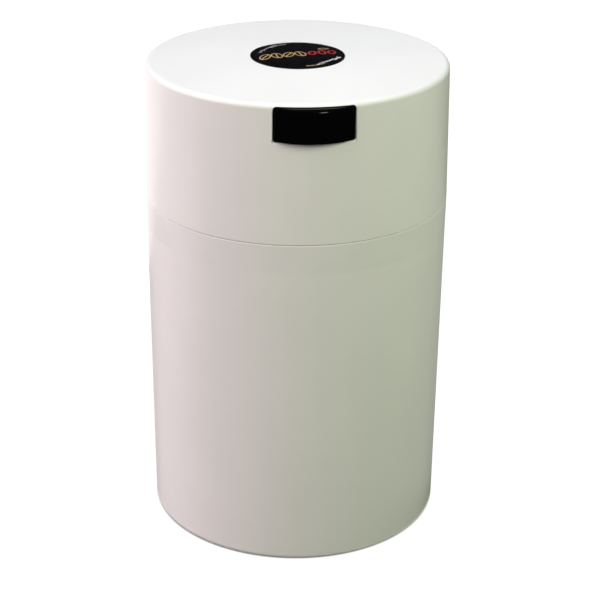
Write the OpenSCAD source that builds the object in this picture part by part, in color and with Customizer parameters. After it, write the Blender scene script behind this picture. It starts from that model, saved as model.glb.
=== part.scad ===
// Vacuum canister for coffee beans.
// A moulded body carries a bonded neck. A deep lid slides over the neck, and the sealing
// cover inside the lid runs in the neck like a piston. The button on the side of the lid
// pushes a forked slide, whose ramps lift a sprung poppet valve off its seat.
// Millimetres. The origin is the centre of the foot, +Z is up and the button faces -Y.

/* [Canister] */
// Outer diameter where the lid meets the body
seam_d = 120; // [110:1:140]
// Height of the body from its foot to the seam
body_h = 136.5; // [100:0.5:180]
// Height of the lid from the seam to the edge of its top
lid_h = 54; // [50:0.5:70]
// Draft of the body's side, narrower towards the foot, in degrees
body_draft = 0.35; // [0:0.05:0.8]
// Draft of the lid's side, narrower towards the top, in degrees
lid_draft = 0.95; // [0:0.05:1.2]

/* [Walls] */
// Side wall of the body
body_wall = 3; // [2.4:0.1:4]
// Floor of the body
floor_t = 3; // [2:0.1:5]
// Skirt of the lid
lid_wall = 2; // [1.6:0.1:2.6]
// Top of the lid
lid_top_t = 1.6; // [1.4:0.1:2.4]
// Neck at its thinnest, just below its rim
neck_wall = 2; // [1.6:0.1:2.6]
// Side wall of the sealing cover
cover_wall = 1.8; // [1.4:0.1:2.4]
// Plate of the sealing cover
plate_t = 2.2; // [1.8:0.1:3]

/* [Edges] */
// Rounding between the foot and the side
base_round = 1.5; // [0.8:0.1:2.4]
// Rounding between the lid's side and its top
top_round = 1.9; // [0.8:0.1:2.2]
// How far the lid's top rises from its rim to its middle
lid_crown = 1.4; // [0.4:0.1:2]
// Rounding of the two edges that meet at the seam
seam_round = 0.3; // [0.2:0.05:0.6]
// Width of the ring that the canister stands on
foot_w = 4; // [3:0.5:8]
// Height of the underside above the surface it stands on
foot_recess = 1.2; // [0.6:0.1:2]

/* [Neck] */
// Length of neck bonded inside the body, below the seam
neck_seat_h = 12; // [8:0.5:18]
// Depth of the rebate in the body wall that takes the neck
rebate = 0.85; // [0.6:0.05:1.2]
// Height left free between the neck's rim and the button's flange
rim_clear = 2.4; // [1.5:0.1:4]

/* [Button] */
// Width of the button
button_w = 29.8; // [24:0.2:34]
// Height of the button
button_h = 13; // [11.5:0.1:14]
// Corner radius of the button, seen from the front
button_corner = 1.3; // [1:0.1:3]
// How far the middle of the button stands proud of the lid
button_crown = 3.2; // [1:0.1:4.5]
// Wall thickness of the button
button_wall = 1.6; // [1.2:0.1:2]
// Inward travel of the button
button_travel = 3.5; // [2.5:0.1:3.6]
// How far the flange behind the button overlaps the lid on each side
flange_lip = 2.2; // [1.6:0.1:3]
// Thickness of that flange
flange_t = 1.5; // [1.2:0.1:1.8]
// Thickness of the lid's top over the button's window
roof_t = 0.8; // [0.6:0.05:1.4]
// Bevel along the foot and the sides of that window
window_bevel = 0.4; // [0.2:0.1:0.6]

/* [Slide] */
// Width of the slide and its fork
slide_w = 14; // [14:0.5:18]
// Thickness of the slide
slide_t = 2.6; // [2.2:0.1:3]
// Valve lift for each millimetre of button travel
lift_ratio = 0.6; // [0.4:0.05:0.65]

/* [Valve] */
// Hole in the cover plate that the valve closes
valve_hole_d = 8; // [6.5:0.5:9]
// Height of the seat's lip above the plate
seat_lip_h = 0.8; // [0.5:0.1:1.2]
// How far the rubber disc reaches past the hole all round
disc_lap = 2.5; // [2.2:0.1:2.8]
// Thickness of the rubber disc
disc_t = 1.8; // [1.4:0.1:2.4]
// Diameter of the stem between disc and crosshead
stem_d = 5; // [4:0.1:5.6]
// Diameter of the guide pin at the top of the stem
pin_d = 4; // [3:0.1:4.4]
// Length of the crosshead along the slide
head_l = 6; // [5:0.1:7]
// Thickness of the crosshead at its thin side
head_t = 2.6; // [2.2:0.1:3.2]
// Length of the valve spring with the valve shut
valve_spring_l = 6.4; // [5.8:0.1:7.5]
// Outer diameter of the valve spring
valve_spring_d = 9; // [8.5:0.1:10.5]
// Wire of the valve spring
valve_wire = 0.7; // [0.5:0.05:0.8]
// Thickness of the bridge that guides the stem
bridge_t = 2; // [1.6:0.1:2.6]

/* [Seal] */
// Height of the groove that holds the lip seal
seal_h = 5; // [4:0.1:6.5]
// Radial space between the cover's wall and the bore of the neck
seal_reach = 4; // [3.4:0.1:5]
// Thickness of the seal's two lips
lip_t = 0.9; // [0.7:0.05:1.1]

/* [Button springs] */
// Outer diameter of the two button springs
button_spring_d = 5; // [4.4:0.1:6]
// Wire of the button springs
button_wire = 0.5; // [0.4:0.05:0.6]

/* [Badge] */
// Diameter of the domed badge
badge_d = 36.8; // [24:0.2:50]
// Depth of the recess that the badge sits in
badge_recess = 0.4; // [0.2:0.05:0.6]
// Thickness of the printed foil under the dome
foil_t = 0.25; // [0.2:0.05:0.4]
// Height of the clear dome at its middle
dome_h = 1.5; // [1:0.1:2]

/* [Fits] */
// Visible gap between lid and body
seam_gap = 0.15; // [0.1:0.05:0.5]
// Radial gap between the neck and the lid's skirt
neck_fit = 0.3; // [0.2:0.05:0.5]
// Radial gap between the seal's lips and the neck's bore
seal_fit = 0.08; // [0.05:0.01:0.15]
// Gap of the bonded and seated joints
bond_gap = 0.1; // [0.05:0.05:0.15]
// Gap round the button in its window
button_gap = 0.25; // [0.2:0.05:0.4]
// Side gap of the parts that slide
slide_gap = 0.3; // [0.2:0.05:0.4]
// Gap under the crosshead, at the valve seat and round the stem's pin
valve_gap = 0.12; // [0.08:0.02:0.16]

/* [Hidden] */
$fn = 96;
over = 1;                                   // how far a cutter runs past what it cuts
arc_steps = 6;                              // chords in a small profile rounding

// Heights of body, lid and neck
seam_r = seam_d / 2;
top_z = body_h + lid_h;
ceiling_z = top_z - lid_top_t;
lid_edge_z = body_h + seam_gap;
seat_z = body_h - neck_seat_h;
window_z1 = top_z - roof_t;
pad_z1 = window_z1 - button_gap;
pad_z0 = pad_z1 - button_h;
pad_mid_z = (pad_z0 + pad_z1) / 2;
flange_z0 = pad_z0 - flange_lip / 2;
flange_z1 = ceiling_z - button_gap;
rim_z = flange_z0 - rim_clear;

// Radii of the drafted walls
function body_r(z) = seam_r - (body_h - z) * tan(body_draft);
function lid_r(z) = seam_r - (z - body_h) * tan(lid_draft);
function lid_in_r(z) = lid_r(z) - lid_wall;
function neck_r(z) = lid_in_r(z) - neck_fit;
rebate_r = seam_r - body_wall + rebate;
sleeve_r = rebate_r - bond_gap;
bore_r = min(sleeve_r, neck_r(rim_z)) - neck_wall;
cover_r = bore_r - seal_reach;
cover_in_r = cover_r - cover_wall;
flange_r = bore_r - seal_reach / 5;         // the two flanges that hold the seal
foot_r = body_r(0) - base_round;

// Crown of the lid's top, a slice of a wide ball inside the rim's rounding
crown_edge_r = lid_r(top_z) - top_round;
crown_ball_r = (pow(crown_edge_r, 2) + pow(lid_crown, 2)) / (2 * lid_crown);
function crown_z(r) = top_z + lid_crown - crown_ball_r + sqrt(pow(crown_ball_r, 2) - r * r);
badge_z0 = crown_z(badge_d / 2) - badge_recess;

// Valve train, stacked down from the ceiling of the lid
screw_d = 2.4;
screw_l = 8;
screw_head_d = 4.6;
screw_head_h = 1.5;
disc_d = valve_hole_d + 2 * disc_lap;
lift = button_travel * lift_ratio;
bridge_z1 = ceiling_z - screw_head_h - 0.8;
bridge_z0 = bridge_z1 - bridge_t;
head_z1 = bridge_z0 - valve_spring_l;
ramp_y0 = head_l / 2 + slide_gap;           // low end of the ramps
ramp_y1 = -ramp_y0 - button_travel;         // high end of the ramps
function head_z(y) = head_z1 - head_t - lift_ratio * (y + head_l / 2);
slide_z1 = head_z(ramp_y0) - valve_gap;
slide_z0 = slide_z1 - slide_t;
collar_t = 1.2;                             // flange of the stem that backs the disc
collar_z1 = slide_z0 - lift - 2 * slide_gap;
disc_z1 = collar_z1 - collar_t;
disc_z0 = disc_z1 - disc_t;
seat_lip_z = disc_z0 - valve_gap / 2;
plate_z1 = seat_lip_z - seat_lip_h;
plate_z0 = plate_z1 - plate_t;
seal_z0 = plate_z0 + 2;
cover_top_z = ceiling_z - bond_gap;
spring_core_r = valve_spring_d / 2 - valve_wire - 0.3;

// Tower on the cover plate that guides the slide and carries the bridge
channel_x = slide_w / 2 + slide_gap;
tower_wall = 2;
tower_l = head_l + 5;
boss_r = 3;
boss_x = channel_x + tower_wall + boss_r - over;
guide_l = 4;                                // length of each rib under the slide
guide_y = disc_d / 2 + 2 * slide_gap + guide_l / 2;

// Button, its peg and the front end of the slide
face_r0 = lid_r(pad_mid_z) + button_crown;
button_hw = button_w / 2;
edge_y = sqrt(pow(lid_r(pad_mid_z), 2) - pow(button_hw, 2)) + 0.2;
face_sag = face_r0 - edge_y;
face_r = (pow(button_hw, 2) + pow(face_sag, 2)) / (2 * face_sag);
face_y = face_r - face_r0;                  // centre of the face's curve
flange_hw = button_hw + flange_lip;
flange_out_r = lid_in_r(flange_z1) - button_gap / 2;
flange_in_r = flange_out_r - flange_t;
window_y = sqrt(pow(flange_in_r, 2) - pow(button_hw, 2)) - button_travel - slide_gap;
peg_r = 1.7;
eye_r = 3.6;
peg_y = -face_r0 + button_wall + eye_r + slide_gap;
tongue_z0 = pad_z0 + button_wall + bond_gap;
tongue_z1 = tongue_z0 + slide_t;
shelf_hw = eye_r + 1;
peg_z1 = tongue_z1 + 1.4;
riser_y = -cover_in_r + button_spring_d / 2 + 1.5;
fork_hw = stem_d / 2 + 2 * slide_gap;
fork_y = -(stem_d / 2 + button_travel + 1.5);
arm_y = guide_y + guide_l / 2;

// Button springs, between the inside of the button and the cover's wall
spring_z = pad_mid_z;
button_spring_x = (shelf_hw + slide_gap + button_hw - button_wall) / 2;
spring_edge_x = button_spring_x + button_spring_d / 2;
spring_y0 = face_y - sqrt(pow(face_r - button_wall, 2) - pow(spring_edge_x, 2));
spring_seat_y = -cover_r - 0.1;
spring_seat_r = button_spring_d / 2 + 0.2;
post_r = button_spring_d / 2 - button_wire - 0.25;
post_l = 1.2;
nub_l = 0.6;

// Rings under the lid's top that locate the cover
ring_h = 3;
ring_t = 1.4;

// Points along an arc of radius r about [x, z], from angle a0 to a1
function arc(x, z, r, a0, a1, n = arc_steps) =
    [for (i = [0:n]) [x + r * cos(a0 + (a1 - a0) * i / n), z + r * sin(a0 + (a1 - a0) * i / n)]];

// Rounded rectangle between two corners, with true arcs
module rounded_rect(low, high, r) {
    translate([low[0] + r, low[1]]) square([high[0] - low[0] - 2 * r, high[1] - low[1]]);
    translate([low[0], low[1] + r]) square([high[0] - low[0], high[1] - low[1] - 2 * r]);
    for (x = [low[0] + r, high[0] - r], y = [low[1] + r, high[1] - r])
        translate([x, y]) circle(r, $fn = 48);
}

// Block between two corners
module block(low, high) {
    translate(low) cube(high - low);
}

// Cylinder along +Y from y0 to y1
module rod_y(x, y0, y1, z, r) {
    translate([x, y0, z]) rotate([-90, 0, 0]) cylinder(r = r, h = y1 - y0, $fn = 48);
}

// Cylinder along +Z from z0 to z1
module rod_z(x, y, z0, z1, r) {
    translate([x, y, z0]) cylinder(r = r, h = z1 - z0, $fn = 48);
}

// Vessel that holds the beans, rebated at the top for the neck
module container_body() {
    inner_round = 4;
    floor_z = foot_recess + floor_t;
    function wall_in_r(z) = body_r(z) - body_wall;
    color("whitesmoke") rotate_extrude() polygon(concat(
        [[0, foot_recess], [foot_r - foot_w, foot_recess], [foot_r - foot_w + foot_recess / 2, 0]],
        arc(foot_r, base_round, base_round, -90, 0),
        arc(seam_r - seam_round, body_h - seam_round, seam_round, 0, 90),
        [[rebate_r, body_h], [rebate_r, seat_z], [wall_in_r(seat_z), seat_z]],
        arc(wall_in_r(floor_z) - inner_round, floor_z + inner_round, inner_round, 0, -90),
        [[0, floor_z]]
    ));
}

// Neck: its lower sleeve is bonded in the body, and the lid's seal runs in its bore
module neck_ring() {
    rim_round = neck_wall * 0.4;
    lead = 0.6;
    color("white") rotate_extrude() polygon(concat(
        [[bore_r + lead, seat_z], [sleeve_r - lead, seat_z], [sleeve_r, seat_z + lead], [sleeve_r, body_h]],
        [[neck_r(body_h), body_h]],
        arc(neck_r(rim_z) - rim_round, rim_z - rim_round, rim_round, 0, 90),
        arc(bore_r + rim_round, rim_z - rim_round, rim_round, 90, 180),
        [[bore_r, seat_z + 2 * lead]]
    ));
}

// Deep cap with the button's window, the guides beside it and the rings that locate the cover
module lid_shell() {
    cheek_x = flange_hw + slide_gap;
    ring_z = ceiling_z - ring_h;
    recess_r = badge_d / 2 + 0.2;
    ceiling_round = 1.5;
    inner_r = cover_in_r - bond_gap - ring_t;
    under = ceiling_z - crown_z(inner_r);   // the ceiling follows the crown inside the rings
    color("white") difference() {
        union() {
            rotate_extrude() polygon(concat(
                arc(seam_r - seam_round, lid_edge_z + seam_round, seam_round, -90, 0),
                arc(lid_r(top_z) - top_round, top_z - top_round, top_round, 0, 90),
                crown(crown_edge_r, recess_r, 0),
                [[recess_r, badge_z0], [0, badge_z0], [0, crown_z(0) + under]],
                crown(0, inner_r, under),
                arc(lid_in_r(ceiling_z) - ceiling_round, ceiling_z - ceiling_round, ceiling_round, 90, 0),
                [[lid_in_r(lid_edge_z), lid_edge_z]]
            ));
            // outer locating ring, broken where the button comes through
            difference() {
                ring(cover_r + bond_gap, ring_t, ring_z);
                block([-cheek_x, -seam_r, ring_z - over], [cheek_x, 0, ceiling_z + over / 2]);
            }
            // inner locating ring
            ring(inner_r, ring_t, ring_z);
            // cheeks that guide the flange's ends
            intersection() {
                union() for (x = [-cheek_x - ring_t, cheek_x])
                    block([x, -seam_r, flange_z0], [x + ring_t, -cover_r / 2, ceiling_z + over / 2]);
                rotate_extrude() polygon([
                    [cover_r + bond_gap, 0], [lid_in_r(0) + lid_wall / 2, 0],
                    [lid_in_r(top_z) + lid_wall / 2, top_z], [cover_r + bond_gap, top_z]
                ]);
            }
        }
        // window, let into the ceiling as far as the button travels
        window(0, window_y);
        // bevel round it
        intersection() {
            window(window_bevel, cover_r);
            window_slopes();
        }
        // room for the flange in the rounding under the lid's top
        intersection() {
            block([-cheek_x, -seam_r, flange_z0], [cheek_x, -cover_r / 2, ceiling_z]);
            rotate_extrude() translate([cover_r, 0]) square([lid_in_r(ceiling_z) - cover_r, ceiling_z]);
        }
    }
}

// Points of the crown from radius r0 to r1, raised by dz
function crown(r0, r1, dz, n = 10) =
    [for (i = [1:n]) let (r = r0 + (r1 - r0) * i / n) [r, crown_z(r) + dz]];

// Prism of the button's window from y outwards, wider by grow at its foot and sides
module window(grow, y) {
    hw = button_hw + button_gap + grow;
    translate([0, -y, 0]) rotate([90, 0, 0]) linear_extrude(seam_r)
        rounded_rect([-hw, pad_z0 - button_gap - grow], [hw, window_z1], button_corner);
}

// Space outside the sloping faces of the window's bevel
module window_slopes() {
    b = window_bevel;
    hw = button_hw + button_gap;
    foot_z = pad_z0 - button_gap;
    foot_r = lid_r(foot_z);
    side_y = sqrt(pow(lid_r(pad_mid_z), 2) - hw * hw);
    intersection() {
        rotate_extrude() polygon([
            [foot_r - b, foot_z], [foot_r + 2 * b, foot_z - 3 * b],
            [foot_r + 2 * b, top_z], [foot_r - b, top_z]
        ]);
        linear_extrude(top_z) polygon([
            [-hw, b - side_y], [-hw - 3 * b, -2 * b - side_y], [-hw - 3 * b, -2 * seam_r],
            [hw + 3 * b, -2 * seam_r], [hw + 3 * b, -2 * b - side_y], [hw, b - side_y]
        ]);
    }
}

// Ring of thickness t standing down from the ceiling to z0
module ring(r, t, z0) {
    rotate_extrude() translate([r, z0]) square([t, ceiling_z + lid_top_t / 2 - z0]);
}

// Sealing cover: a cup that hangs in the neck and carries the seal, the valve seat and the slide's guides
module inner_cover() {
    groove_z1 = seal_z0 + seal_h;
    notch_hw = shelf_hw + slide_gap;
    color("gainsboro") difference() {
        union() {
            // cup with the two flanges of the seal groove
            rotate_extrude() polygon(concat(
                [[0, plate_z0], [flange_r - 0.8, plate_z0], [flange_r, plate_z0 + 0.8]],
                [[flange_r, seal_z0], [cover_r, seal_z0], [cover_r, groove_z1]],
                [[flange_r, groove_z1], [flange_r, groove_z1 + 1.2], [cover_r, groove_z1 + 2.4]],
                [[cover_r, cover_top_z], [cover_in_r, cover_top_z]],
                arc(cover_in_r - 2, plate_z1 + 2, 2, 0, -90),
                [[0, plate_z1]]
            ));
            // lip of the valve seat
            rotate_extrude() polygon([
                [valve_hole_d / 2 - 0.2, plate_z1 - 0.2], [valve_hole_d / 2 + 1.8, plate_z1 - 0.2],
                [valve_hole_d / 2 + 1.2, seat_lip_z], [valve_hole_d / 2 + 0.5, seat_lip_z]
            ]);
            slide_tower();
            // seats and nubs of the button springs on the front of the wall
            for (x = [-button_spring_x, button_spring_x]) {
                rod_y(x, spring_seat_y, -cover_in_r - 0.2, spring_z, spring_seat_r);
                rod_y(x, spring_seat_y - nub_l, spring_seat_y + over, spring_z, post_r);
            }
        }
        rod_z(0, 0, plate_z0 - over, plate_z1 + over, valve_hole_d / 2);
        // notch for the button's shelf and the slide's tongue
        block([-notch_hw, -seam_r, pad_z0 - slide_gap], [notch_hw, -cover_in_r + 4, peg_z1 + slide_gap]);
    }
}

// Walls, ribs and screw bosses that stand on the cover plate
module slide_tower() {
    foot_z = plate_z1 - plate_t / 2;
    pilot_d = screw_d - 0.4;
    for (side = [-1, 1]) {
        // side walls of the channel, tall where the bridge sits on them
        mirror([side < 0 ? 1 : 0, 0, 0]) {
            block([channel_x, -tower_l / 2, foot_z], [channel_x + tower_wall, tower_l / 2, bridge_z0]);
            block([channel_x, -arm_y, foot_z], [channel_x + tower_wall, arm_y, slide_z1]);
        }
        // bosses for the bridge screws
        difference() {
            rod_z(side * boss_x, 0, foot_z, bridge_z0, boss_r);
            rod_z(side * boss_x, 0, bridge_z0 - screw_l, bridge_z0 + over, pilot_d / 2);
        }
        // rib under the slide at each end of the fork
        block([-channel_x - over, side * guide_y - guide_l / 2, foot_z],
            [channel_x + over, side * guide_y + guide_l / 2, slide_z0 - bond_gap]);
    }
    // guide for the web, half-way to the wall
    guide_mid_y = (riser_y + fork_y) / 2;
    difference() {
        block([-channel_x - tower_wall, guide_mid_y - guide_l / 2, foot_z],
            [channel_x + tower_wall, guide_mid_y + guide_l / 2, slide_z1]);
        block([-channel_x, guide_mid_y - guide_l, slide_z0 - bond_gap],
            [channel_x, guide_mid_y + guide_l, slide_z1 + over]);
    }
}

// Silicone ring with two lips that bear on the neck's bore
module lip_seal() {
    base_r = cover_r + bond_gap;
    base_t = seal_reach * 0.4;
    lip_r = bore_r - seal_fit;
    z0 = seal_z0 + bond_gap;
    z1 = seal_z0 + seal_h - bond_gap;
    root = (z1 - z0) / 4;
    tip_drop = 0.5;
    color("lightgrey") rotate_extrude() polygon([
        [base_r, z0], [base_r + base_t, z0],
        [base_r + base_t, z0 + root - lip_t / 2], [lip_r - tip_drop, z0 + root - lip_t / 2 + tip_drop],
        [lip_r, z0 + root + tip_drop], [lip_r - tip_drop, z0 + root + lip_t / 2 + tip_drop],
        [base_r + base_t, z0 + root + lip_t / 2],
        [base_r + base_t, z1 - root - lip_t / 2], [lip_r - tip_drop, z1 - root - lip_t / 2 + tip_drop],
        [lip_r, z1 - root + tip_drop], [lip_r - tip_drop, z1 - root + lip_t / 2 + tip_drop],
        [base_r + base_t, z1 - root + lip_t / 2],
        [base_r + base_t, z1], [base_r, z1]
    ]);
}

// Outline of the button in its window, drawn along Y, set back by inset on every side
module button_prism(inset, y0, y1) {
    translate([0, y1, 0]) rotate([90, 0, 0]) linear_extrude(y1 - y0)
        rounded_rect([-button_hw + inset, pad_z0 + inset], [button_hw - inset, pad_z1 - inset],
            max(button_corner - inset, 0.3));
}

// Plan of the button's pad: its curved face runs round into its straight sides
module pad_plan(r) {
    corner_x = button_hw - r;
    corner_y = face_y - sqrt(pow(face_r - r, 2) - pow(corner_x, 2));
    reach = 1.1 * face_r / (face_y - corner_y);
    wedge_y = face_y + reach * (corner_y - face_y);
    intersection() {
        translate([0, face_y]) circle(face_r, $fn = 180);
        polygon([[0, face_y], [-reach * corner_x, wedge_y], [reach * corner_x, wedge_y]]);
    }
    for (x = [-corner_x, corner_x]) translate([x, corner_y]) circle(r, $fn = 48);
    translate([-button_hw, corner_y]) square([button_w, seam_r / 2]);
}

// Cylinder whose front follows the button's face, set in by depth
module face_cylinder(depth) {
    translate([0, face_y, pad_z0]) cylinder(r = face_r - depth, h = button_h, $fn = 180);
}

// Push button: a crowned hollow pad, a flange that stops it behind the window, and its inner posts
module push_button() {
    edge_round = 1;
    color([0.03, 0.03, 0.035]) {
        difference() {
            union() {
                // pad, cut off behind along the curve of the flange
                difference() {
                    intersection() {
                        button_prism(0, -face_r0 - over, -cover_r / 2);
                        translate([0, face_y, 0]) rotate_extrude() intersection() {
                            rounded_rect([-face_r, pad_z0], [face_r, pad_z1], edge_round);
                            translate([0, pad_z0]) square([face_r, button_h]);
                        }
                        linear_extrude(pad_z1 + over) pad_plan(edge_round);
                    }
                    cylinder(r = flange_in_r, h = top_z);
                }
                // flange, a slice of a ring that fits the inside of the lid
                intersection() {
                    rotate_extrude() translate([flange_in_r, 0]) square([flange_t, flange_z1]);
                    block([-flange_hw, -seam_r, flange_z0], [flange_hw, -cover_r / 2, flange_z1]);
                }
            }
            // hollow, open at the back
            intersection() {
                button_prism(button_wall, -face_r0, 0);
                face_cylinder(button_wall);
            }
        }
        // shelf for the slide's eye, and the peg with its staked head
        block([-shelf_hw, -flange_out_r, pad_z0], [shelf_hw, peg_y + eye_r, pad_z0 + button_wall]);
        rod_z(0, peg_y, pad_z0 + over, peg_z1, peg_r);
        rod_z(0, peg_y, tongue_z1 + bond_gap, peg_z1, peg_r + 0.7);
        // flat seats and posts for the springs
        for (x = [-button_spring_x, button_spring_x]) {
            intersection() {
                rod_y(x, -face_r0, spring_y0, spring_z, spring_seat_r);
                face_cylinder(button_wall / 2);
            }
            rod_y(x, spring_y0 - over, spring_y0 + post_l, spring_z, post_r);
        }
    }
}

// Slide: an eye on the button's peg, a tongue, a riser, and a ramped fork round the valve stem
module slide_bar() {
    rib_hw = 1;
    rib_z = slide_z1 + 1.4;
    web_hw = slide_w / 2;
    ramp_z = slide_z1 + lift_ratio * (ramp_y0 - ramp_y1);
    color("ivory") {
        difference() {
            intersection() {
                translate([-web_hw, 0, 0]) side_extrude(slide_w) slide_side();
                linear_extrude(tongue_z1 + over) slide_plan();
            }
            rod_z(0, peg_y, tongue_z0 - over, tongue_z1 + over, peg_r + bond_gap);
        }
        // rib along the web, rising into a gusset behind the riser
        translate([-rib_hw, 0, 0]) side_extrude(2 * rib_hw) polygon([
            [riser_y + slide_t / 2, slide_z1 - over], [fork_y - 4, slide_z1 - over], [fork_y - 4, slide_z1],
            [fork_y - 5, rib_z], [riser_y + slide_t + 4, rib_z],
            [riser_y + slide_t - 0.2, tongue_z1 - slide_t], [riser_y + slide_t / 2, tongue_z1 - slide_t]
        ]);
        // ramps on the two arms
        for (x = [-web_hw, fork_hw]) translate([x, 0, 0]) side_extrude(web_hw - fork_hw) polygon([
            [ramp_y0, slide_z1 - over], [ramp_y0, slide_z1], [ramp_y1, ramp_z],
            [ramp_y1 - 1.5, ramp_z], [ramp_y1 - 3.5, slide_z1], [ramp_y1 - 3.5, slide_z1 - over]
        ]);
    }
}

// Side of the slide as [y, z]: tongue, riser and web in one strip with round bends
module slide_side() {
    bend = 1;
    y0 = riser_y;
    y1 = riser_y + slide_t;
    polygon(concat(
        [[peg_y - eye_r, tongue_z0]],
        arc(y0 - bend, tongue_z0 - bend, bend, 90, 0),
        arc(y0 + bend, slide_z0 + bend, bend, 180, 270),
        [[arm_y, slide_z0], [arm_y, slide_z1]],
        arc(y1 + bend, slide_z1 + bend, bend, 270, 180),
        arc(y1 - bend, tongue_z1 - bend, bend, 0, 90),
        [[peg_y - eye_r, tongue_z1]]
    ));
}

// Plan of the slide as [x, y]: round eye, narrow tongue, shoulders and fork
module slide_plan() {
    web_hw = slide_w / 2;
    shoulder_y = riser_y + slide_t + 1;
    difference() {
        union() {
            translate([0, peg_y]) circle(eye_r, $fn = 48);
            polygon([
                [-eye_r, peg_y], [eye_r, peg_y], [eye_r, shoulder_y], [web_hw, shoulder_y + web_hw - eye_r],
                [web_hw, arm_y - 1], [web_hw - 1, arm_y], [-web_hw + 1, arm_y], [-web_hw, arm_y - 1],
                [-web_hw, shoulder_y + web_hw - eye_r], [-eye_r, shoulder_y]
            ]);
        }
        translate([0, fork_y + fork_hw]) circle(fork_hw, $fn = 48);
        translate([-fork_hw, fork_y + fork_hw]) square([2 * fork_hw, arm_y - fork_y]);
    }
}

// Extrudes a shape drawn as [y, z] along +X
module side_extrude(l) {
    rotate([90, 0, 90]) linear_extrude(l) children();
}

// Valve stem: barbed foot, collar, shaft, sloped crosshead and guide pin
module valve_stem() {
    head_hw = slide_w / 2;
    pin_z1 = bridge_z1 - 0.4;
    foot_z = disc_z0 - 2;
    neck_d = stem_d * 0.6;
    color("linen") {
        rotate_extrude() polygon([
            [0, foot_z], [neck_d / 2, foot_z], [neck_d / 2 + 0.7, foot_z + 1.2],
            [neck_d / 2 + 0.7, disc_z0], [neck_d / 2, disc_z0], [neck_d / 2, disc_z1],
            [disc_d * 0.38, disc_z1], [disc_d * 0.38, collar_z1], [stem_d / 2, collar_z1],
            [stem_d / 2, head_z1 - over], [0, head_z1 - over]
        ]);
        translate([-head_hw, 0, 0]) side_extrude(2 * head_hw) polygon([
            [-head_l / 2, head_z(-head_l / 2)], [head_l / 2, head_z(head_l / 2)],
            [head_l / 2, head_z1], [-head_l / 2, head_z1]
        ]);
        rod_z(0, 0, head_z1 - over, head_z1 + 1, spring_core_r);
        rod_z(0, 0, head_z1 - over, pin_z1, pin_d / 2);
    }
}

// Rubber disc that closes the seat from above
module valve_disc() {
    color("dimgrey") difference() {
        rotate_extrude() polygon(concat(
            [[0, disc_z0], [disc_d / 2, disc_z0]],
            arc(disc_d / 2 - 0.5, disc_z1 - 0.5, 0.5, 0, 90),
            [[0, disc_z1]]
        ));
        rod_z(0, 0, disc_z0 - over, disc_z1 + over, stem_d * 0.3 + 0.02);
    }
}

// Bridge over the slide: it guides the stem's pin and holds down the valve spring
module valve_bridge() {
    bridge_hw = boss_x + boss_r;
    color("gainsboro") difference() {
        union() {
            translate([0, 0, bridge_z0]) linear_extrude(bridge_t)
                rounded_rect([-bridge_hw, -tower_l / 2], [bridge_hw, tower_l / 2], boss_r);
            rod_z(0, 0, bridge_z0 - 1.2, bridge_z0 + over, spring_core_r);
        }
        rod_z(0, 0, bridge_z0 - 3, bridge_z1 + over, pin_d / 2 + valve_gap);
        for (x = [-boss_x, boss_x]) rod_z(x, 0, bridge_z0 - over, bridge_z1 + over, screw_d / 2 + 0.2);
    }
}

// Two self-tapping screws with crossed recesses
module bridge_screws() {
    recess_w = 0.6;
    pilot_r = screw_d / 2 - 0.25;
    color("silver") for (x = [-boss_x, boss_x]) difference() {
        union() {
            rod_z(x, 0, bridge_z0 - screw_l + 1, bridge_z0 + over, pilot_r);
            rod_z(x, 0, bridge_z0, bridge_z1 + over / 2, screw_d / 2);
            translate([x, 0, bridge_z1]) rotate_extrude() polygon(concat(
                [[0, 0], [screw_head_d / 2, 0]],
                arc(screw_head_d / 2 - 0.7, screw_head_h - 0.7, 0.7, 0, 90),
                [[0, screw_head_h]]
            ));
        }
        for (a = [0, 90]) translate([x, 0, bridge_z1 + screw_head_h]) rotate([0, 0, a])
            cube([screw_head_d * 0.6, recess_w, 1.6], center = true);
    }
}

// Centreline of a helical spring along +Z, whose end turns are a little closer than the rest
function spring_path(mean_r, l, wire, turns, n = 16) = [
    for (i = [0:turns * n]) let (
        t = i / (turns * n),
        a = 360 * turns * t,
        ease = t - sin(360 * t) / (8 * PI)
    ) [mean_r * cos(a), mean_r * sin(a), wire / 2 + ease * (l - wire)]
];

// Round wire of diameter wire swept along a path, as one closed tube
module swept_wire(path, wire, sides = 6) {
    n = len(path);
    points = [
        for (i = [0:n - 1]) let (
            ahead = path[min(i + 1, n - 1)] - path[max(i - 1, 0)],
            t = ahead / norm(ahead),
            outward = [path[i][0], path[i][1], 0],
            u = outward / norm(outward),
            v = cross(t, u)
        ) for (k = [0:sides - 1]) path[i] + wire / 2 * (cos(360 * k / sides) * u + sin(360 * k / sides) * v)
    ];
    faces = concat(
        [for (i = [0:n - 2], k = [0:sides - 1]) each let (
            a = i * sides + k, b = i * sides + (k + 1) % sides, c = a + sides, d = b + sides
        ) [[a, d, b], [a, c, d]]],
        [[for (k = [0:sides - 1]) k]],
        [[for (k = [0:sides - 1]) n * sides - 1 - k]]
    );
    polyhedron(points, faces);
}

// Smallest gap between neighbouring turns of a spring
function turn_gap(path, wire, n = 16) =
    min([for (i = [0:len(path) - 1 - n]) norm(path[i + n] - path[i])]) - wire;

valve_turns = 4;
button_turns = 4;
button_spring_l = spring_seat_y - spring_y0 - 2 * bond_gap;
valve_coil_l = valve_spring_l - 2 * bond_gap;
valve_path = spring_path((valve_spring_d - valve_wire) / 2, valve_coil_l, valve_wire, valve_turns);
button_path = spring_path((button_spring_d - button_wire) / 2, button_spring_l, button_wire, button_turns);
echo(valve_spring_gap = turn_gap(valve_path, valve_wire));
echo(button_spring_gap = turn_gap(button_path, button_wire));

// Spring round the stem's pin that shuts the valve
module valve_spring() {
    color("silver") translate([0, 0, head_z1 + bond_gap]) swept_wire(valve_path, valve_wire);
}

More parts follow.
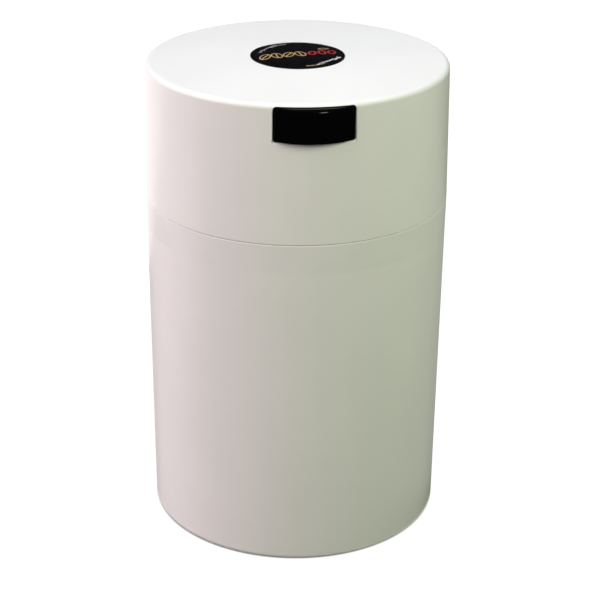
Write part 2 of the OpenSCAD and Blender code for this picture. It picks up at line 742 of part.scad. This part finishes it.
// One of the two springs that return the button
module button_spring(x) {
    color("silver") translate([x, spring_y0 + bond_gap, spring_z]) rotate([-90, 0, 0])
        swept_wire(button_path, button_wire);
}

// Printed foil in the recess on the lid's top
module badge_foil() {
    color([0.04, 0.04, 0.06]) rod_z(0, 0, badge_z0, badge_z0 + foil_t, badge_d / 2);
}

// Clear domed resin over the foil
module badge_dome() {
    z0 = badge_z0 + foil_t;
    edge_h = dome_h / 6;
    steps = 18;
    color([0.3, 0.3, 0.35, 0.4]) rotate_extrude() polygon(concat(
        [[0, z0], [badge_d / 2, z0]],
        [for (i = [0:steps]) let (q = 1 - pow(i / steps, 1.5))
            [q * badge_d / 2, z0 + edge_h + (dome_h - edge_h) * (1 - pow(q, 4))]]
    ));
}

container_body();
neck_ring();
lid_shell();
inner_cover();
lip_seal();
push_button();
slide_bar();
button_spring(-button_spring_x);  // button_spring_left
button_spring(button_spring_x);  // button_spring_right
valve_stem();
valve_disc();
valve_spring();
valve_bridge();
bridge_screws();
badge_foil();
badge_dome();
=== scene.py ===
# %% [markdown]
# # A white coffee canister with a press-button lid
# The canister is a tall moulded pot, a deep lid with a black button in its side, and a small
# domed badge on top. Inside the lid a slide, a spring and a rubber disc make the valve.
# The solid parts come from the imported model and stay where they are. This lesson gives them
# their finishes, winds the fine springs, prints the badge and sets up the studio.

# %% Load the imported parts
import math

import bpy
from mathutils import Matrix, Quaternion, Vector


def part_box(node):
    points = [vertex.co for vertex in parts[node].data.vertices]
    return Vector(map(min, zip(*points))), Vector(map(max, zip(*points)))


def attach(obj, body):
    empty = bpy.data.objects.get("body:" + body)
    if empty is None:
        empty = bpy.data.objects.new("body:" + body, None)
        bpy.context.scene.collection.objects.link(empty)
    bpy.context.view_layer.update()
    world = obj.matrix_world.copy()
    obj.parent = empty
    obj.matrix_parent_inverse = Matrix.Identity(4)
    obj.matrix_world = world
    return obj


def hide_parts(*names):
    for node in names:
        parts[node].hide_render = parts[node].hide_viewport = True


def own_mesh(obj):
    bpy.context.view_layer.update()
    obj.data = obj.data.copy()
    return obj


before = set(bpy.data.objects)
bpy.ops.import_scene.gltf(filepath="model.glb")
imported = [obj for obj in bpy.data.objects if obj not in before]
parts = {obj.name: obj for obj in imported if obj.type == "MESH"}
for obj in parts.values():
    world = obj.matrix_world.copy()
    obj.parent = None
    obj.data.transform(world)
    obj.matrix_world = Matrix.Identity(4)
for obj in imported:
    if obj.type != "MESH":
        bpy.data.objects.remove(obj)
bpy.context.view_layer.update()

MM = 0.001
bpy.ops.object.select_all(action="DESELECT")

# %% [markdown]
# ## The camera and the picture
# The picture was taken from a little above, with a long lens, almost in front of the button.
# A long lens far away keeps the sides of a tall pot nearly parallel. The camera is aimed with a
# tracking rotation, then turned half a degree, because the pot leans that much in the frame.

# %% Place the camera
CAMERA_AROUND = math.radians(-6.3)
CAMERA_AWAY = 641.9 * MM
CAMERA_HEIGHT = 378.7 * MM
AIM = Vector((1.85 * MM, 0, 87.6 * MM))
FRAME_TURN = math.radians(0.56)
LENS_MM = 102.4

right = Vector((math.cos(CAMERA_AROUND), math.sin(CAMERA_AROUND), 0))
eye = Vector((math.sin(CAMERA_AROUND) * CAMERA_AWAY, -math.cos(CAMERA_AROUND) * CAMERA_AWAY, CAMERA_HEIGHT))
target = right * AIM.x + Vector((0, 0, AIM.z))
bpy.ops.object.camera_add(location=eye)
camera = bpy.context.object
camera.name = "photo_camera"
look = (target - eye).to_track_quat("-Z", "Y")
camera.rotation_euler = (look @ Quaternion((0, 0, 1), FRAME_TURN)).to_euler()
camera.data.lens = LENS_MM
camera.data.sensor_width = 36
bpy.context.scene.camera = camera
bpy.context.scene.view_settings.view_transform = "Standard"
print("camera is", round((target - eye).length, 3), "m from the pot")

# %% [markdown]
# ## Tools for the finishes
# A moulded surface is never one flat colour. Its shade drifts a little over a few centimetres,
# its gloss is broken by rub marks, and the mould leaves a very fine ripple. All three come from
# noise that is read in the part's own coordinates, so the pattern stays put when a part moves.

# %% Helpers that build a node material
class Finish:
    """A Principled material with short calls for the nodes that drive it."""

    def __init__(self, name, **sockets):
        self.material = bpy.data.materials.new(name)
        self.material.use_nodes = True
        self.nodes = self.material.node_tree.nodes
        self.links = self.material.node_tree.links
        self.shader = self.nodes["Principled BSDF"]
        for socket, value in sockets.items():
            self.shader.inputs[socket.replace("_", " ")].default_value = value
        self.place = self.add("ShaderNodeTexCoord").outputs["Object"]

    def add(self, kind, **settings):
        node = self.nodes.new(kind)
        for key, value in settings.items():
            setattr(node, key, value)
        return node

    def stretched(self, scale, turn=(0, 0, 0), shift=(0, 0, 0)):
        """The part's coordinates, scaled along each axis."""
        node = self.add("ShaderNodeMapping")
        node.inputs["Scale"].default_value = scale
        node.inputs["Rotation"].default_value = turn
        node.inputs["Location"].default_value = shift
        self.links.new(self.place, node.inputs["Vector"])
        return node.outputs["Vector"]

    def noise(self, scale, detail=3.0, rough=0.55, place=None):
        node = self.add("ShaderNodeTexNoise")
        node.inputs["Scale"].default_value = scale
        node.inputs["Detail"].default_value = detail
        node.inputs["Roughness"].default_value = rough
        self.links.new(place or self.place, node.inputs["Vector"])
        return node.outputs["Fac"]

    def spread(self, value, low, high, to_low, to_high, smooth=False):
        """Maps a value from one range to another and clamps it."""
        node = self.add("ShaderNodeMapRange")
        if smooth:
            node.interpolation_type = "SMOOTHSTEP"
        for key, number in zip(("From Min", "From Max", "To Min", "To Max"), (low, high, to_low, to_high)):
            node.inputs[key].default_value = number
        self.links.new(value, node.inputs["Value"])
        return node.outputs["Result"]

    def math(self, how, a, b):
        node = self.add("ShaderNodeMath", operation=how)
        for slot, value in zip(node.inputs, (a, b)):
            if isinstance(value, (int, float)):
                slot.default_value = value
            else:
                self.links.new(value, slot)
        return node.outputs[0]

    def blend(self, share, a, b):
        """Mixes two colours, each given as numbers or as a socket."""
        node = self.add("ShaderNodeMix", data_type="RGBA")
        self.links.new(share, node.inputs["Factor"])
        for slot, value in ((node.inputs[6], a), (node.inputs[7], b)):
            if isinstance(value, tuple):
                slot.default_value = (*value, 1)
            else:
                self.links.new(value, slot)
        return node.outputs[2]

    def axis(self, letter):
        node = self.add("ShaderNodeSeparateXYZ")
        self.links.new(self.place, node.inputs[0])
        return node.outputs[letter]

    def drive(self, socket, value):
        self.links.new(value, self.shader.inputs[socket])

    def bump(self, height, distance, strength=1.0, under=None):
        node = self.add("ShaderNodeBump")
        node.inputs["Strength"].default_value = strength
        node.inputs["Distance"].default_value = distance
        self.links.new(height, node.inputs["Height"])
        if under is not None:
            self.links.new(under, node.inputs["Normal"])
        return node.outputs["Normal"]


def shaded(colour, share):
    return tuple(channel * share for channel in colour)


def paint(finish, *names):
    """Puts one finish on carried-over parts."""
    for name in names:
        data = parts[name].data
        data.materials.clear()
        data.materials.append(finish.material)

# %% [markdown]
# ## Moulded white plastic
# The pot and the lid are the same glossy white. What tells them from a flat white are a shade
# that drifts by about one part in fifty, faint upright rub marks where the lid slides and hands
# hold it, and a ripple a few hundredths of a millimetre deep. One function makes this for each
# white part, because only its numbers change.

# %% White plastic and its variants
def moulded(name, colour, gloss, drift=0.97, rub=0.1, ripple=0.02, grain=420.0, **sockets):
    """Moulded plastic: drifting shade, rubbed gloss, fine ripple."""
    f = Finish(name, Roughness=gloss, IOR=1.5, **sockets)
    cloud = f.spread(f.noise(26, 4), 0.35, 0.65, 0, 1)
    f.colour = f.blend(cloud, shaded(colour, drift), colour)
    f.drive("Base Color", f.colour)
    rubbed = f.noise(330, 5, 0.7, f.stretched((1, 1, 0.06)))
    smeared = f.noise(34, 3)
    wear = f.math("MULTIPLY", f.spread(rubbed, 0.5, 0.78, 0, 1), f.spread(smeared, 0.4, 0.7, 0, 1))
    f.gloss = f.spread(wear, 0, 1, gloss, gloss + rub)
    f.drive("Roughness", f.gloss)
    peel = f.bump(f.noise(grain, 2), ripple * MM)
    f.normal = f.bump(rubbed, 0.004 * MM, 0.5, peel)
    f.drive("Normal", f.normal)
    return f


WHITE = (0.86, 0.855, 0.845)
lid_white = moulded("lid_plastic_gloss", WHITE, 0.3, Specular_IOR_Level=0.3)
neck_white = moulded("neck_plastic_gloss", shaded(WHITE, 0.97), 0.3, Specular_IOR_Level=0.3)
cover_white = moulded("cover_plastic_satin", (0.82, 0.82, 0.80), 0.3, 0.95, 0.12, 0.03)
paint(lid_white, "lid_shell")
paint(neck_white, "neck_ring")
paint(cover_white, "inner_cover", "valve_bridge")

# %% [markdown]
# The pot is the same white, with one thing more: the sleeve that guides the lid is bonded inside
# its top, and it shades the thin wall there. A patchy darker band read from the height paints that shade.

# %% The pot, with the sleeve's shade painted on its wall
sleeve_low, seam = 0.1245, 0.1365
body_white = moulded("body_plastic_gloss", WHITE, 0.3, Specular_IOR_Level=0.3)
# A darker, patchy band from the sleeve's foot up to the seam: painted shade of the sleeve inside the wall.
height = body_white.axis("Z")
above = body_white.spread(height, sleeve_low - 0.0004, sleeve_low + 0.0006, 0, 1, smooth=True)
shade_patchiness = body_white.spread(body_white.noise(48, 2), 0.42, 0.6, 0.25, 1)
sleeve_shade = body_white.math("MULTIPLY", above, shade_patchiness)
body_white.drive("Base Color", body_white.blend(sleeve_shade, body_white.colour, shaded(WHITE, 0.955)))
paint(body_white, "container_body")

# %% [markdown]
# ## Black button, rubber, acetal and steel
# The button is glossy black with finger smears that only show in its reflections. The seal is
# grey silicone, dull and slightly dusty. Slide and stem are acetal, which looks waxy. The screws
# and springs are steel, whose drawn surface has lines far finer than its parts.

# %% The dark and small finishes
button_black = moulded("button_plastic_gloss", (0.002, 0.002, 0.0024), 0.09, 0.6, 0.12, 0.006, 600.0,
                       Specular_IOR_Level=0.02)
paint(button_black, "push_button")
silicone = moulded("silicone_grey", (0.72, 0.72, 0.70), 0.42, 0.93, 0.2, 0.03, 900.0)
silicone.shader.inputs["Subsurface Weight"].default_value = 0.12
silicone.shader.inputs["Subsurface Radius"].default_value = (0.002, 0.002, 0.0018)
paint(silicone, "lip_seal")
acetal = moulded("acetal_natural", (0.78, 0.76, 0.70), 0.36, 0.95, 0.12, 0.02, 700.0)
paint(acetal, "slide_bar", "valve_stem")
rubber = moulded("valve_rubber_dark", (0.06, 0.06, 0.062), 0.5, 0.75, 0.2, 0.03, 1500.0)
paint(rubber, "valve_disc")


def drawn_steel(name, colour, gloss, lines):
    """Metal whose gloss is broken by drawing or turning lines."""
    f = Finish(name, Metallic=1.0, Roughness=gloss)
    fine = f.noise(900, 4, 0.65, f.stretched(lines))
    f.drive("Base Color", f.blend(fine, shaded(colour, 0.82), colour))
    f.drive("Roughness", f.spread(fine, 0.3, 0.7, gloss - 0.06, gloss + 0.12))
    f.drive("Normal", f.bump(fine, 0.004 * MM))
    return f


wire_steel = drawn_steel("spring_steel_drawn", (0.62, 0.62, 0.63), 0.26, (1, 1, 4))
screw_steel = drawn_steel("screw_steel_zinc", (0.70, 0.70, 0.69), 0.3, (3, 3, 1))
paint(screw_steel, "bridge_screws")

# %% [markdown]
# ## Winding the springs
# A compression spring is one wire on a helix whose end turns lie almost flat, so that it stands
# straight. A modifier could wind an even helix, but not the close end turns. Here a small disc is
# extruded step by step: each step lifts it a little and turns it round the axis, as a coiling
# machine feeds wire. The three springs ride in the lid.

# %% Wind a wire step by step
STEPS_A_TURN = 20


def rise_at(turn, turns, dead, wire, length):
    """Height of the wire's centre after a number of turns, with close turns at both ends."""
    closed = dead * wire * 1.06
    if turn <= dead:
        return closed * turn / dead
    if turn >= turns - dead:
        return length - wire - closed * (turns - turn) / dead
    share = (turn - dead) / (turns - 2 * dead)
    return closed + share * (length - wire - 2 * closed)


def wind(name, radius, wire, length, turns, dead=0.75):
    """A spring standing on the origin, along Z."""
    bpy.ops.mesh.primitive_circle_add(vertices=12, radius=wire / 2, fill_type="NGON",
                                      location=(radius, 0, wire / 2), rotation=(math.pi / 2, 0, 0))
    spring = bpy.context.object
    spring.name = name
    bpy.ops.object.transform_apply(location=True, rotation=True, scale=True)
    bpy.ops.object.mode_set(mode="EDIT")
    bpy.ops.mesh.select_all(action="SELECT")
    steps = round(turns * STEPS_A_TURN)
    heights = [rise_at(i * turns / steps, turns, dead, wire, length) for i in range(steps + 1)]
    for low, high in zip(heights, heights[1:]):
        bpy.ops.mesh.extrude_region_move(TRANSFORM_OT_translate={"value": (0, 0, high - low)})
        bpy.ops.transform.rotate(value=math.tau * turns / steps, orient_axis="Z",
                                 center_override=(0, 0, 0))
    bpy.ops.mesh.select_all(action="SELECT")
    bpy.ops.mesh.normals_make_consistent(inside=False)
    bpy.ops.object.mode_set(mode="OBJECT")
    bpy.ops.object.shade_smooth_by_angle(angle=math.radians(50))
    return spring


def settle(piece, turn=(0, 0, 0), place=(0, 0, 0)):
    """Turns and moves a piece, then writes its place into its mesh."""
    piece.rotation_euler = turn
    piece.location = place
    bpy.ops.object.select_all(action="DESELECT")
    piece.select_set(True)
    bpy.context.view_layer.objects.active = piece
    bpy.ops.object.transform_apply(location=True, rotation=True, scale=True)
    piece.select_set(False)


def finish_piece(piece, finish, body, slot, *stands_for):
    """Gives a new piece its material and the body that carries it, and hides the parts it stands for."""
    piece.data.materials.clear()
    piece.data.materials.append(finish.material)
    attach(piece, body)
    if stands_for:
        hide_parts(*stands_for)

# %% The valve spring
low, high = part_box("valve_spring")
wire = 0.7 * MM
valve_coil = wind("valve_coil", (high.x - low.x - wire) / 2, wire, high.z - low.z, 5)
settle(valve_coil, place=(0, 0, low.z))
finish_piece(valve_coil, wire_steel, "lid", "spring_steel", "valve_spring")
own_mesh(valve_coil)
print("valve spring mm:", round((high.z - low.z) / MM, 2))

# %% The two button springs
for side in ("left", "right"):
    node = "button_spring_" + side
    low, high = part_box(node)
    wire = 0.5 * MM
    middle = (low + high) / 2
    coil = wind("button_coil_" + side, (high.z - low.z - wire) / 2, wire, high.y - low.y, 4.5, 0.6)
    settle(coil, turn=(-math.pi / 2, 0, 0), place=(middle.x, low.y, middle.z))
    finish_piece(coil, wire_steel, "lid", "spring_steel", node)
    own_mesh(coil)
    print(coil.name, "length mm:", round((high.y - low.y) / MM, 2))

# %% [markdown]
# ## The badge
# The badge is a printed black disc under a dome of clear resin. The dome is glass-clear, and only
# its edge catches the lamps. The print is line art: a row of coffee beans and cherries between
# two thin tan arcs. The arcs are the two spans of a tan ring that catch the light, and only these
# are printed, so they carry a painted highlight. The print is modelled a hair thick and lies inside
# the resin, so that nothing shines between the two, as on a real doming label.

# %% The printed disc
low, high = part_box("badge_foil")
BADGE_R = (high.x - low.x) / 2
PRINT_TOP = high.z + 0.02 * MM
BADGE_MID = (low + high) / 2


def flat_disc(name, radius, bottom, top, at=(0, 0), vertices=128):
    """A thin disc whose top face is inset by a narrow ring."""
    bpy.ops.mesh.primitive_cylinder_add(vertices=vertices, radius=radius, depth=top - bottom,
                                        location=(at[0], at[1], (top + bottom) / 2))
    disc = bpy.context.object
    disc.name = name
    bpy.ops.object.transform_apply(location=True, rotation=True, scale=True)
    bpy.ops.object.mode_set(mode="EDIT")
    bpy.ops.mesh.select_all(action="DESELECT")
    bpy.ops.object.mode_set(mode="OBJECT")
    for face in disc.data.polygons:
        face.select = face.normal.z > 0.9
    bpy.ops.object.mode_set(mode="EDIT")
    bpy.ops.mesh.select_mode(type="FACE")
    bpy.ops.mesh.inset(thickness=(top - bottom) * 0.4)
    bpy.ops.object.mode_set(mode="OBJECT")
    bpy.ops.object.shade_smooth_by_angle(angle=math.radians(30))
    return disc


badge_print = flat_disc("badge_print", BADGE_R - 0.12 * MM, low.z, PRINT_TOP)
print_black = moulded("badge_print_black", (0.003, 0.003, 0.0045), 0.3, 0.7, 0.1, 0.004, 1200.0,
                      Specular_IOR_Level=0.05)
finish_piece(badge_print, print_black, "lid", "badge_print", "badge_foil")

# %% The arcs, the beans and the cherries
EMBOSS = 0.03 * MM


def raise_print(piece, turn=0.0, at=(0, 0)):
    """Makes a flat drawing a hair thick and puts it on the printed disc."""
    bpy.ops.mesh.select_all(action="SELECT")
    bpy.ops.mesh.extrude_region_move(TRANSFORM_OT_translate={"value": (0, 0, EMBOSS)})
    bpy.ops.mesh.select_all(action="SELECT")
    bpy.ops.mesh.normals_make_consistent(inside=False)
    bpy.ops.object.mode_set(mode="OBJECT")
    bpy.ops.object.shade_flat()
    settle(piece, turn=(0, 0, turn), place=(at[0], at[1], PRINT_TOP - EMBOSS / 2))
    return piece


def flat_oval(name, length, breadth, vertices):
    """A filled oval, left in edit mode with its face selected."""
    bpy.ops.mesh.primitive_circle_add(vertices=vertices, radius=0.5, fill_type="NGON", location=(0, 0, 0))
    oval = bpy.context.object
    oval.name = name
    oval.scale = (length, breadth, 1)
    bpy.ops.object.transform_apply(location=True, rotation=True, scale=True)
    bpy.ops.object.mode_set(mode="EDIT")
    bpy.ops.mesh.select_mode(type="FACE")
    bpy.ops.mesh.select_all(action="SELECT")
    return oval


def drop_faces(piece, unwanted):
    """Deletes the faces whose centre a test picks out."""
    bpy.ops.object.mode_set(mode="OBJECT")
    for face in piece.data.polygons:
        face.select = unwanted(face.center.x, face.center.y)
    bpy.ops.object.mode_set(mode="EDIT")
    bpy.ops.mesh.delete(type="FACE")


def lit_ring_arcs(name, radius, width, spans):
    """Two thin flat arcs: a disc is inset, and all but the given spans of its rim is dropped. The spans kept are
    where the ring catches the light, a painted highlight.
    """
    ring = flat_oval(name, 2 * radius, 2 * radius, 180)
    bpy.ops.mesh.inset(thickness=width)

    def unwanted(x, y):
        angle = math.degrees(math.atan2(y, x))
        on_arc = any(start < angle < end for start, end in spans)
        return math.hypot(x, y) < radius - width or not on_arc

    drop_faces(ring, unwanted)
    return raise_print(ring)


def seed(name, length, breadth, at, turn, stroke, crease=False):
    """An oval drawn as a line. With an S-shaped crease it is a coffee bean, else a cherry."""
    drawing = flat_oval(name, length, breadth, 56)
    bpy.ops.mesh.inset(thickness=stroke)
    wave = [(-0.62, -0.16), (-0.3, 0.1), (0, 0), (0.3, -0.1), (0.62, 0.16)]
    line = [Vector((x * length, y * breadth, 0)) for x, y in wave] if crease else []
    for side in (1, -1):
        for a, b in zip(line, line[1:]):
            across = Vector((-(b - a).y, (b - a).x, 0)).normalized()
            bpy.ops.mesh.select_all(action="SELECT")
            bpy.ops.mesh.bisect(plane_co=a + across * side * stroke / 2, plane_no=across)

    def unwanted(x, y):
        on_rim = (2 * x / (length - 2 * stroke)) ** 2 + (2 * y / (breadth - 2 * stroke)) ** 2 > 1
        on_line = any(a.x <= x <= b.x and abs(y - a.y - (b.y - a.y) * (x - a.x) / (b.x - a.x)) < stroke * 0.55
                      for a, b in zip(line, line[1:]))
        return not (on_rim or on_line)

    drop_faces(drawing, unwanted)
    bpy.ops.mesh.select_all(action="SELECT")
    bpy.ops.mesh.dissolve_limited(angle_limit=math.radians(1))
    return raise_print(drawing, turn, at)


def gather(name, pieces):
    """Joins small meshes into one piece."""
    bpy.ops.object.select_all(action="DESELECT")
    for piece in pieces:
        piece.select_set(True)
    bpy.context.view_layer.objects.active = pieces[0]
    bpy.ops.object.join()
    whole = bpy.context.object
    whole.name = name
    whole.select_set(False)
    return whole


BEANS = [(-12.9, -3.5, 66), (-8.3, -2.8, 108), (-3.7, -2.0, 70), (0.9, -1.2, 112)]
CHERRIES = [(5.6, -0.5, 80), (9.5, 0.3, 98), (13.3, 0.9, 84)]
# Only the two spans of the tan ring that catch the light are printed: print with a painted highlight.
tan_pieces = [lit_ring_arcs("badge_lit_ring_arcs", 15.8 * MM, 0.4 * MM, [(96, 126), (-84, -54)])]
tan_pieces += [seed(f"bean_{i}", 6.4 * MM, 4.3 * MM, (x * MM, y * MM), math.radians(turn), 0.5 * MM, crease=True)
               for i, (x, y, turn) in enumerate(BEANS)]
tan_pieces += [seed("leaf", 4.6 * MM, 1.9 * MM, (10.6 * MM, 5.4 * MM), math.radians(14), 0.45 * MM)]
badge_beans = gather("badge_beans", tan_pieces)
badge_berries = gather("badge_berries", [
    seed(f"cherry_{i}", 4.9 * MM, 3.5 * MM, (x * MM, y * MM), math.radians(turn), 0.8 * MM)
    for i, (x, y, turn) in enumerate(CHERRIES)])
tan_ink = moulded("badge_ink_tan", (0.62, 0.42, 0.22), 0.3, 0.85, 0.1, 0.004, 1500.0, Specular_IOR_Level=0.05)
red_ink = moulded("badge_ink_red", (0.55, 0.05, 0.06), 0.3, 0.85, 0.1, 0.004, 1500.0, Specular_IOR_Level=0.05)
finish_piece(badge_beans, tan_ink, "lid", "badge_print")
finish_piece(badge_berries, red_ink, "lid", "badge_print")

# %% [markdown]
# ## Clear resin
# Resin bends light like glass. Lamps would cast a shadow through real glass, so shadow rays pass
# it straight, and the print below keeps its light.

# %% The dome
resin = Finish("badge_resin_clear", Base_Color=(0.97, 0.97, 0.98, 1), IOR=1.5)
resin.shader.inputs["Transmission Weight"].default_value = 1.0
haze = resin.noise(180, 3)
resin.drive("Roughness", resin.spread(haze, 0.35, 0.75, 0.01, 0.05))
resin.drive("Normal", resin.bump(resin.noise(240, 2), 0.006 * MM))
clear = resin.add("ShaderNodeBsdfTransparent")
mixer = resin.add("ShaderNodeMixShader")
light_path = resin.add("ShaderNodeLightPath")
resin.links.new(light_path.outputs["Is Shadow Ray"], mixer.inputs["Fac"])
resin.links.new(resin.shader.outputs["BSDF"], mixer.inputs[1])
resin.links.new(clear.outputs["BSDF"], mixer.inputs[2])
resin.links.new(mixer.outputs["Shader"], resin.nodes["Material Output"].inputs["Surface"])
paint(resin, "badge_dome")

# %% [markdown]
# ## Studio
# The pot stands on a plain white floor, which shows as white in the picture and in reflections
# and keeps the soft shadow at the pot's foot. Right at the foot an occlusion node also paints a
# thin contact shadow into the floor's glow. The light is soft: a pale wall on the left, a big
# lamp overhead and a smaller one in front on the right.

# %% Floor
bpy.ops.mesh.primitive_plane_add(size=6, location=(0, 0, 0))
floor = bpy.context.object
floor.name = "studio_floor"
sweep = Finish("studio_floor_white", Base_Color=(0.25, 0.25, 0.25, 1), Roughness=0.9)
paths = sweep.add("ShaderNodeLightPath")
seen = sweep.math("MAXIMUM", paths.outputs["Is Camera Ray"],
                  sweep.math("MAXIMUM", paths.outputs["Is Glossy Ray"], paths.outputs["Is Transmission Ray"]))
sweep.shader.inputs["Emission Color"].default_value = (1, 1, 1, 1)
# Within 0.8 mm of the pot an occlusion node dims the floor's glow: a painted contact shadow.
painted_contact_shadow = sweep.add("ShaderNodeAmbientOcclusion")
painted_contact_shadow.inputs["Distance"].default_value = 0.8 * MM
away = sweep.add("ShaderNodeVectorMath", operation="LENGTH")
sweep.links.new(sweep.place, away.inputs[0])
level = sweep.spread(away.outputs["Value"], 0.3, 1.2, 0.9, 1.0, smooth=True)
glowing = sweep.math("MULTIPLY", seen, sweep.math("MULTIPLY", painted_contact_shadow.outputs["AO"], level))
sweep.drive("Emission Strength", glowing)
side = sweep.add("ShaderNodeNewGeometry")
open_below = sweep.add("ShaderNodeMixShader")
sweep.links.new(side.outputs["Backfacing"], open_below.inputs["Fac"])
sweep.links.new(sweep.shader.outputs["BSDF"], open_below.inputs[1])
sweep.links.new(sweep.add("ShaderNodeBsdfTransparent").outputs["BSDF"], open_below.inputs[2])
sweep.links.new(open_below.outputs["Shader"], sweep.nodes["Material Output"].inputs["Surface"])
floor.data.materials.append(sweep.material)

# %% [markdown]
# Glossy black only looks black when it mirrors something dark, and a white wall has an edge only
# where its rim mirrors a darker floor. Photographers lay cards round the product for both. No
# camera ray meets them here, so the floor stays white from every side. Three small glint lamps
# draw the thin lights on the button's edge and on the badge.

# %% Cards round the pot
card_black = Finish("studio_card_black", Base_Color=(0.015, 0.015, 0.015, 1), Roughness=0.9)
card_grey = Finish("studio_card_grey", Base_Color=(0.25, 0.25, 0.25, 1), Roughness=0.9)


def card(name, finish, size, at, corners=4):
    """A plain card that only reflections meet: a rectangle, a wedge of three corners or a disc."""
    if corners == 4:
        bpy.ops.mesh.primitive_plane_add(size=1, location=at)
    else:
        bpy.ops.mesh.primitive_circle_add(vertices=corners, radius=0.5, fill_type="NGON", location=at)
    sheet = bpy.context.object
    sheet.name = name
    sheet.scale = (*size, 1)
    sheet.visible_camera = False
    sheet.visible_shadow = False
    sheet.data.materials.append(finish.material)
    return sheet


card("front_card", card_black, (1.6, 1.272), (0, -0.704, 0.002))
card("near_card", card_black, (0.366, 0.65), (-0.117, -0.075, 0.0015))
card("right_card", card_grey, (0.7, 0.7), (0.416, -0.05, 0.0015))
card("far_right_card", card_black, (1.2, 0.8), (0.666, 0.7, 0.0015))
card("left_card", card_black, (0.36, 0.28), (-0.48, 0.16, 0.0015))
ceiling_card = card("ceiling_card", card_black, (4, 4), (0, 0, 1.6))
ceiling_card.visible_diffuse = False
bpy.ops.mesh.primitive_cylinder_add(vertices=64, radius=1.1, depth=1.4, end_fill_type="NOTHING",
                                    location=(0, 0, 0.71))
room_card = bpy.context.object
room_card.name = "room_card"
room_card.visible_camera = False
room_card.visible_shadow = False
room_card.visible_diffuse = False
room_card.data.materials.append(card_black.material)

# %% Lamps
def softbox(name, at, towards, size, power, colour=(1, 1, 1), only=None, along=(1, 0, 0)):
    """A soft rectangular lamp. Its width runs along a direction, and it may light one part only."""
    bpy.ops.object.light_add(type="AREA", location=at)
    lamp = bpy.context.object
    lamp.name = name
    back = (Vector(at) - Vector(towards)).normalized()
    width = (Vector(along) - back * back.dot(Vector(along))).normalized()
    lamp.rotation_euler = Matrix((width, back.cross(width), back)).transposed().to_euler()
    lamp.data.shape = "RECTANGLE"
    lamp.data.size, lamp.data.size_y = size
    lamp.data.energy = power
    lamp.data.color = colour
    lamp.visible_camera = False
    if only:
        lit = bpy.data.collections.new(name + "_lit")
        lit.objects.link(parts[only])
        lamp.light_linking.receiver_collection = lit
    return lamp


overhead = softbox("overhead_lamp", (0, 0.15, 0.85), (0, 0, 0.12), (0.8, 0.5), 3.39, (0.76, 0.84, 1))
overhead.visible_glossy = False
front_right = softbox("front_right_lamp", (0.55, -0.6, 0.65), (0, 0, 0.12), (0.4, 0.4), 5.7, (0.92, 1, 0.76))
front_right.visible_glossy = False
glint = softbox("button_glint", (0.325, -0.954, 0.48), (0, -0.06, 0.19), (0.22, 0.38), 32, only="push_button")
glint.visible_diffuse = False
softbox("badge_glint_left", (0.033, 0.949, 0.3715), (0, 0, 0.192), (0.162, 0.026), 0.0099,
        only="badge_dome", along=(0.076, 0, -0.143))
softbox("badge_glint_right", (0.234, 0.92, 0.6745), (0, 0, 0.192), (0.299, 0.03), 0.0845,
        only="badge_dome", along=(0.056, -0.014, -0.293))
back_fill = softbox("back_fill", (0, 0.8, 0.09), (0, 0, 0.09), (1.2, 0.15), 2.0)
back_fill.visible_glossy = False

# %% The room: a soft bright wall on the left, white where it is seen or mirrored
world = bpy.data.worlds.new("studio_room")
bpy.context.scene.world = world
world.use_nodes = True
room, joins = world.node_tree.nodes, world.node_tree.links


def room_math(how, a, b):
    node = room.new("ShaderNodeMath")
    node.operation = how
    for slot, value in zip(node.inputs, (a, b)):
        if isinstance(value, (int, float)):
            slot.default_value = value
        else:
            joins.new(value, slot)
    return node.outputs[0]


way = room.new("ShaderNodeTexCoord")
towards_left = room.new("ShaderNodeVectorMath")
towards_left.operation = "DOT_PRODUCT"
joins.new(way.outputs["Generated"], towards_left.inputs[0])
towards_left.inputs[1].default_value = (-1, 0, 0.25)
glow = room_math("POWER", room_math("MAXIMUM", towards_left.outputs["Value"], 0), 3)
wall = room.new("ShaderNodeMix")
wall.data_type = "RGBA"
wall.inputs[6].default_value = (0, 0, 0, 1)
wall.inputs[7].default_value = (1, 0.893, 0.893, 1)
joins.new(glow, wall.inputs["Factor"])
dim = room["Background"]
dim.inputs["Strength"].default_value = 3.63
joins.new(wall.outputs[2], dim.inputs["Color"])
white = room.new("ShaderNodeBackground")
white.inputs["Color"].default_value = (1, 1, 1, 1)
rays = room.new("ShaderNodeLightPath")
shown = room_math("MAXIMUM", rays.outputs["Is Camera Ray"],
                  room_math("MAXIMUM", rays.outputs["Is Transmission Ray"], rays.outputs["Is Glossy Ray"]))
pick = room.new("ShaderNodeMixShader")
joins.new(shown, pick.inputs["Fac"])
joins.new(dim.outputs[0], pick.inputs[1])
joins.new(white.outputs[0], pick.inputs[2])
joins.new(pick.outputs[0], room["World Output"].inputs["Surface"])
